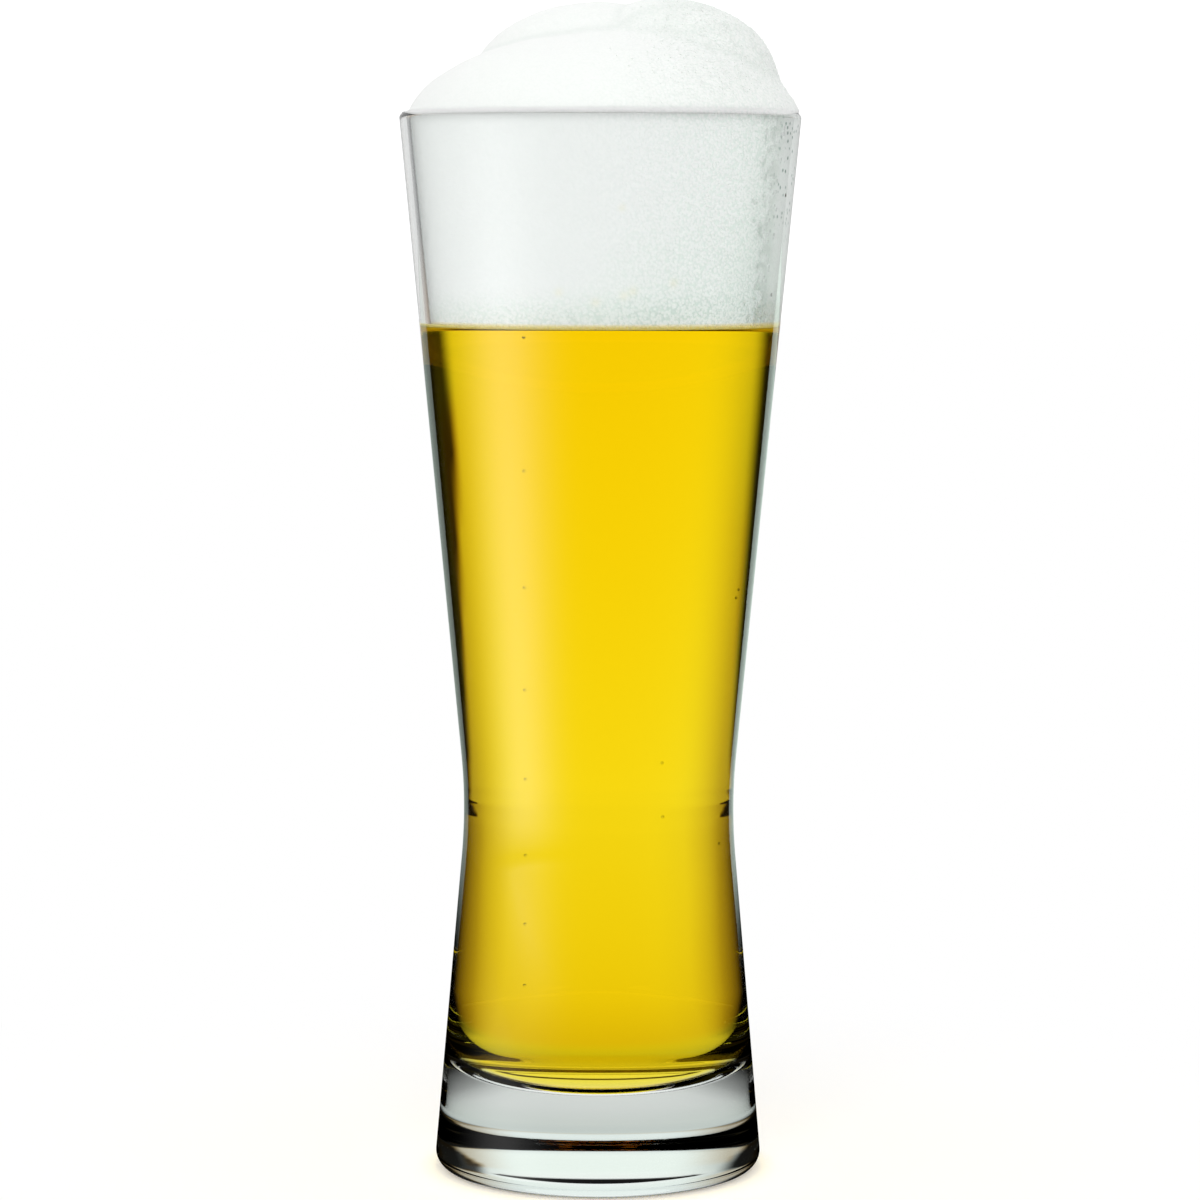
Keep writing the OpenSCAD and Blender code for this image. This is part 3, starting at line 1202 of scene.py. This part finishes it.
@dataclass(frozen=True)
class Sweep:
    """A white sweep that is seen only through the glass: it lies on the table and stands up behind.

    It is brightest in the middle and dark at its sides. Lengths are in millimetres, and angles in degrees
    from straight behind the object. Pairs of left and right values are in that order.
    """

    steps: int = 721
    near_r: float = 34.0
    bend_r: Span = (370.0, 376.0)
    far_r: float = 420.0
    table_z: float = 0.4
    top_z: float = 700.0
    roof_r: Point3 = (300.0, 150.0, 1.0)
    table_rings: tuple[int, int] = (60, 8)
    # rings lie close where the brightness changes: at the table's end and round the slot
    wall_rings: tuple[float, ...] = (*np.arange(1.0, 30.0), 33.0, 40.0, 58.0, 75.0, 95.0, 111.0, 135.0,
                                     160.0, 170.0, *np.arange(180.0, 272.0, 4.0))
    # on the table, light falls off by the angle at which it is seen past the foot
    foot_r: float = 37.0
    even_r: float = 60.0
    narrow: float = 0.1
    narrow_r: Span = (130.0, 250.0)
    fall_turns: tuple[float, ...] = (10, 18, 25, 30, 35, 40, 45, 50, 54, 58, 62, 68, 75)
    fall: tuple[float, ...] = (1, 0.95, 0.79, 0.66, 0.51, 0.42, 0.35, 0.28, 0.23, 0.18, 0.12, 0.05, 0.02)
    shade: float = 0.3
    shade_r: float = 45.0
    shade_fade: float = 70.0
    # up the wall, its lit part narrows with the height
    edge_z: tuple[float, ...] = (10.0, 58.0, 111.0, 160.0)
    left_edge: tuple[float, ...] = (57.0, 50.0, 42.0, 39.0)
    right_edge: tuple[float, ...] = (47.0, 45.0, 38.0, 31.5)
    left_soft: float = 6.5
    right_soft_z: Span = (58.0, 111.0)
    right_soft: Span = (6.0, 3.0)
    wall_fall: float = 0.42
    wall_fall_turns: Span = (14.0, 41.0)
    high_z: Span = (160.0, 200.0)
    high_edge: Span = (38.0, 32.5)
    high_soft: Span = (7.0, 4.5)
    high_fall: float = 0.3
    high_fall_turns: Span = (14.0, 40.0)
    foot_turns: Span = (52.0, 60.0)
    foot_z: Span = (10.0, 15.0)
    # the table ends at a dark gap, which shows as two wedges beside the waist
    gap_z: float = 12.5
    gap_turns: Span = (36.0, 38.0)
    gap_least: float = 0.8
    gap_more: float = 3.2
    gap_opens: Span = (37.0, 54.0)
    gap_soft: float = 0.7
    # a dark slot under the top light shows as the thin black line low in the foot
    slot_z: float = 228.0
    slot_droop: float = 30.0
    slot_turns: Span = (25.0, 29.0)
    slot_soft: float = 3.0
    slot_end_z: Span = (248.0, 262.0)
    top_light: float = 0.55
    top_turns: Span = (40.0, 60.0)
    least: float = 0.01
    dim: float = 0.03
    dim_from_z: Span = (15.0, 25.0)
    dim_to_z: Span = (190.0, 205.0)
    dim_turns: Span = (40.0, 48.0)
    # its dim parts are amber where the beer's edges look
    warm_r: Span = (58.0, 75.0)
    warm_to_z: Span = (165.0, 180.0)
    warm_left_z: Span = (130.0, 145.0)
    warm_high_z: Span = (60.0, 120.0)
    warm_high_turns: Span = (38.0, 44.0)

    def table_level(self, r: float, aside: np.ndarray) -> np.ndarray:
        """Find how bright the sweep is where it lies on the table.

        Args:
            r: Distance from the axis.
            aside: Angles from straight behind the object.

        Returns:
            The brightness at each angle, less towards the sides and towards the foot.
        """
        spread = aside * min(r, self.even_r) / self.even_r / (1 - self.foot_r / max(r, self.even_r))
        spread = spread * (1 - self.narrow * smooth(*self.narrow_r, r))
        near = 1 - self.shade * math.exp(-max(r - self.shade_r, 0.0) / self.shade_fade)
        return np.interp(spread, self.fall_turns, self.fall) * near

    def wall_level(self, z: float, turns: np.ndarray) -> np.ndarray:
        """Find how bright the sweep is where it stands behind the object.

        Args:
            z: Height above the table.
            turns: Angles from straight behind the object towards the right.

        Returns:
            The brightness at each angle, with dark sides and a dark top.
        """
        aside, left, heights = np.abs(turns), turns < 0, np.full_like(turns, z)
        edge = np.where(left, np.interp(z, self.edge_z, self.left_edge),
                        np.interp(z, self.edge_z, self.right_edge))
        soft = np.where(left, self.left_soft, np.interp(z, self.right_soft_z, self.right_soft))
        level = 1 - self.wall_fall * smooth(*self.wall_fall_turns, aside)
        level = level * (1 - smooth(edge - soft, edge + soft, aside))
        edge, soft = np.where(left, *self.high_edge), np.where(left, *self.high_soft)
        high = 1 - self.high_fall * smooth(*self.high_fall_turns, aside)
        high = high * (1 - smooth(edge - soft, edge + soft, aside))
        level = level + (high - level) * smooth(*self.high_z, z)
        foot = self.table_level(self.far_r, aside) * (1 - smooth(*self.foot_turns, aside))
        level = foot + (level - foot) * smooth(*self.foot_z, z)
        starts, ends = self.gap_opens
        half = self.gap_least + self.gap_more * np.clip((aside - starts) / (ends - starts), 0, 1)
        gap = 1 - smooth(half - self.gap_soft, half + self.gap_soft, np.abs(heights - self.gap_z))
        gap = gap * smooth(*self.gap_turns, aside)
        droop_to, droop_by = self.slot_turns
        slot_z = self.slot_z - self.slot_droop * (np.minimum(aside, droop_to) / droop_by) ** 2
        over = smooth(*self.slot_end_z, z)
        slot = smooth(slot_z - self.slot_soft, slot_z + self.slot_soft, heights) * (1 - over)
        light = self.top_light * over * (1 - smooth(*self.top_turns, aside))
        dim = self.dim * smooth(*self.dim_from_z, z) * (1 - smooth(*self.dim_to_z, z))
        level = np.maximum(level * (1 - gap) * (1 - slot), light)
        return level + self.least + dim * (1 - smooth(*self.dim_turns, aside))

    def warmth(self, r: float, z: float, turns: np.ndarray) -> np.ndarray:
        """Find how far the sweep's dim parts turn amber.

        Args:
            r: Distance from the axis.
            z: Height above the table.
            turns: Angles from straight behind the object towards the right.

        Returns:
            The share of amber at each angle.
        """
        if z == self.table_z:
            return np.full_like(turns, smooth(*self.warm_r, r))
        share = 1 - smooth(*self.warm_high_z, z) * smooth(*self.warm_high_turns, np.abs(turns))
        share = share * (1 - smooth(*self.warm_to_z, z))
        return np.where(turns < 0, share * (1 - smooth(*self.warm_left_z, z)), share)

    def build(self, cam: bpy.types.Object) -> None:
        """Stand the sweep behind the object.

        Args:
            cam: The camera.
        """
        turns = np.linspace(-180.0, 180.0, self.steps)
        flat = (*np.geomspace(self.near_r, self.bend_r[0], self.table_rings[0]),
                *np.linspace(self.bend_r[1], self.far_r, self.table_rings[1]))
        path = [(r, self.table_z) for r in flat]
        path += [(self.far_r, z) for z in (*self.wall_rings, self.top_z)]
        path += [(r, self.top_z) for r in self.roof_r]
        glow = [self.table_level(r, np.abs(turns)) if z == self.table_z else self.wall_level(z, turns)
                for r, z in path]
        warm = [self.warmth(r, z, turns) for r, z in path]
        Card("white_sweep", Seen.THROUGH, turns, path, np.array(glow), np.array(warm)).build(cam)


@dataclass(frozen=True)
class DarkRoom:
    """A dark room that is seen only mirrored in the glass: a lit strip on the left, and the table behind.

    Lengths are in millimetres, and angles in degrees. Pairs of left and right values are in that order.
    """

    far_r: float = 3000.0
    steps: int = 721
    wall_rings: tuple[float, ...] = (-6000.0, -1300.0, *np.arange(-900.0, -120.0, 60.0),
                                     *np.arange(-120.0, 121.0, 10.0), 300.0, 1500.0)
    strip_turn: float = 65.0
    strip_width: float = 17.0
    # the flared lower wall mirrors a level way, where the lit strip fades out
    strip_z: tuple[float, ...] = (-1300, -900, -720, -540, -330, -200, -110, -80, -50, -20, 0, 120, 300)
    strip: tuple[float, ...] = (0.0, 1.9, 2.0, 1.9, 1.5, 0.8, 0.25, 0.25, 0.35, 0.65, 1.0, 0.7, 0.0)
    back_turns: float = 34.0
    back: Span = (0.62, 0.45)
    # the walls mirror the table behind at their edges, brighter on the right
    table: Span = (0.5, 0.95)
    table_z: float = 0.6
    table_near: float = 34.0
    table_lit: Span = (280.0, 560.0)
    table_rings: int = 40
    table_steps: int = 41
    table_tone: str = "#ECFFF4"

    def build(self, cam: bpy.types.Object) -> None:
        """Close the sides and the front with the room, and lay the table that is mirrored.

        Args:
            cam: The camera.
        """
        turns = np.linspace(0.0, 360.0, self.steps)
        from_camera = turns - 180
        beam = np.exp(-0.5 * ((from_camera - self.strip_turn) / self.strip_width) ** 2)
        back = np.where(from_camera > 0, *self.back) * (np.abs(from_camera) > 180 - self.back_turns)
        glow = [lit * beam + (back if z > 0 else 0)
                for z, lit in zip(self.wall_rings, np.interp(self.wall_rings, self.strip_z, self.strip))]
        path = [(self.far_r, z) for z in self.wall_rings]
        Card("dark_room", Seen.MIRRORED, turns, path, np.array(glow)).build(cam)
        turns = np.linspace(-self.back_turns, self.back_turns, self.table_steps)
        path = [(r, self.table_z) for r in np.geomspace(self.table_near, self.far_r, self.table_rings)]
        glow = [np.where(turns <= 0, *self.table) * smooth(*self.table_lit, r) for r, _ in path]
        Card("table_behind", Seen.MIRRORED, turns, path, np.array(glow), tone=self.table_tone).build(cam)


@dataclass(frozen=True)
class Floor:
    """A pale floor that shows white and keeps the shadow, in millimetres."""

    half: float = 6000.0
    paint: str = "#E6E6E6"
    lift: float = 0.25
    foot_r: Span = (32.0, 34.0)
    white_r: Span = (60.0, 200.0)

    def material(self) -> bpy.types.Material:
        """Build the floor's paint.

        Returns:
            The material.
        """
        mat, tree = empty_material("pale_floor")
        seen = shown(tree)
        place = add_node(tree, "ShaderNodeTexCoord").outputs["Object"]
        reach = add_node(tree, "ShaderNodeVectorMath", {0: place}, operation="LENGTH").outputs["Value"]
        paint = add_node(tree, "ShaderNodeBsdfDiffuse", {"Color": linear(self.paint)})
        lift = add_node(tree, "ShaderNodeMath", {0: seen, 1: self.lift}, operation="MULTIPLY").outputs[0]
        lift = add_node(tree, "ShaderNodeEmission", {"Color": linear(WHITE), "Strength": lift})
        near = add_node(tree, "ShaderNodeAddShader", {0: paint.outputs[0], 1: lift.outputs[0]}).outputs[0]
        # painted shadow: the floor under the solid foot shows black through the glass, as the foot keeps the
        # light off it
        under = add_node(tree, "ShaderNodeMapRange",
                         {"Value": reach, "From Min": self.foot_r[0] * MM, "From Max": self.foot_r[1] * MM,
                          "To Min": 1.0, "To Max": 0.0}).outputs[0]
        through = add_node(tree, "ShaderNodeLightPath").outputs["Is Transmission Ray"]
        # farther off it shows plain white
        away = add_node(tree, "ShaderNodeMapRange", {"Value": reach, "From Min": self.white_r[0] * MM,
                                                     "From Max": self.white_r[1] * MM},
                        interpolation_type="SMOOTHSTEP").outputs[0]
        for share, way, color in ((under, through, BLACK), (away, seen, WHITE)):
            share = add_node(tree, "ShaderNodeMath", {0: share, 1: way}, operation="MULTIPLY").outputs[0]
            plain = add_node(tree, "ShaderNodeEmission", {"Color": linear(color), "Strength": 1.0})
            near = add_node(tree, "ShaderNodeMixShader", {0: share, 1: near, 2: plain.outputs[0]}).outputs[0]
        add_node(tree, "ShaderNodeOutputMaterial", {"Surface": near})
        return mat

    def build(self) -> None:
        """Lay the floor."""
        side = self.half * MM
        mesh = bpy.data.meshes.new("floor")
        mesh.from_pydata([(-side, -side, 0), (side, -side, 0), (side, side, 0), (-side, side, 0)], [],
                         [(0, 1, 2, 3)])
        mesh.materials.append(self.material())
        floor = add_object("floor", mesh)
        floor.visible_glossy = False


@dataclass(frozen=True)
class Softbox:
    """A soft square lamp, with its place and size in millimetres and its power in watts."""

    name: str
    place: Point3
    size: float
    power: float

    def build(self, aim: Point3) -> None:
        """Hang the lamp.

        Args:
            aim: The point that it shines at, in millimetres.
        """
        data = bpy.data.lights.new(self.name, "AREA")
        data.shape, data.size, data.energy = "SQUARE", self.size * MM, self.power
        lamp = add_object(self.name, data)
        lamp.location = Vector(self.place) * MM
        lamp.rotation_euler = (Vector(aim) * MM - lamp.location).to_track_quat("-Z", "Y").to_euler()
        lamp.visible_glossy = lamp.visible_transmission = False


@dataclass(frozen=True)
class Studio:
    """Camera, light and stage, with lengths in millimetres and the roll in degrees.

    The fill lights the object, and white is what the camera sees and the glass passes on to the foam in it.
    """

    eye: Point3 = (-0.1, -855.0, 193.8)
    aim: Point3 = (0.16, 0.0, 113.9)
    roll: float = 0.138
    lens: float = 129.7
    sensor: float = 36.0
    clip: Span = (10.0, 100000.0)
    # above 1, because the glass takes part of the light on its way to the foam
    white: float = 1.15
    fill: float = 0.84
    lamps: tuple[Softbox, ...] = (Softbox("key_softbox", (-60.0, -810.0, 620.0), 600.0, 2.3),
                                  Softbox("top_softbox", (0.0, 100.0, 1000.0), 800.0, 0.4))
    lit: Point3 = (0.0, 0.0, 140.0)

    def camera(self) -> bpy.types.Object:
        """Place the camera at the photograph's angle.

        Returns:
            The camera.
        """
        data = bpy.data.cameras.new("camera")
        data.lens, data.sensor_width = self.lens, self.sensor
        data.clip_start, data.clip_end = (c * MM for c in self.clip)
        cam = add_object("camera", data)
        eye, aim = Vector(self.eye) * MM, Vector(self.aim) * MM
        turn = (aim - eye).to_track_quat("-Z", "Y").to_matrix().to_4x4()
        cam.matrix_world = Matrix.Translation(eye) @ turn @ Matrix.Rotation(math.radians(self.roll), 4, "Z")
        bpy.context.scene.camera = cam
        return cam

    def world(self) -> None:
        """Light the scene with a plain white surround."""
        world = bpy.data.worlds.new("white_surround")
        bpy.context.scene.world = world
        world.use_nodes = True
        tree = world.node_tree
        tree.nodes.clear()
        fill, white = (add_node(tree, "ShaderNodeBackground", {"Color": linear(WHITE), "Strength": level})
                       for level in (self.fill, self.white))
        mixed = add_node(tree, "ShaderNodeMixShader",
                         {0: shown(tree), 1: fill.outputs[0], 2: white.outputs[0]})
        add_node(tree, "ShaderNodeOutputWorld", {"Surface": mixed.outputs[0]})

    def build(self) -> None:
        """Set the stage."""
        bpy.context.scene.view_settings.view_transform = "Standard"
        bpy.context.scene.cycles.blur_glossy = 0.0  # light passes the clear glass on to the foam unblurred
        cam = self.camera()
        self.world()
        Floor().build()
        Sweep().build(cam)
        DarkRoom().build(cam)
        for lamp in self.lamps:
            lamp.build(self.lit)


def main() -> None:
    """Build the pieces and the stage in order."""
    low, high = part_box("glass")
    bowl = Bowl(rim_z=high[2] / MM, rim_d=(high[0] - low[0]) / MM)
    beer_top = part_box("beer")[1][2] / MM
    lager = PaleBeer()
    head = FoamHead(bowl, BeerFoam(), beer_top)
    for piece in (Vessel(bowl, SodaLimeGlass(), lager, beer_top), Beer(bowl, lager, beer_top),
                  BeerBubbles(lager), head, FoamBubbles(head)):
        obj = piece.build()
        log.info("%s: %d faces", obj.name, len(obj.data.polygons))
    Studio().build()
    log.info("stage: set")


if __name__ == "__main__":
    main()
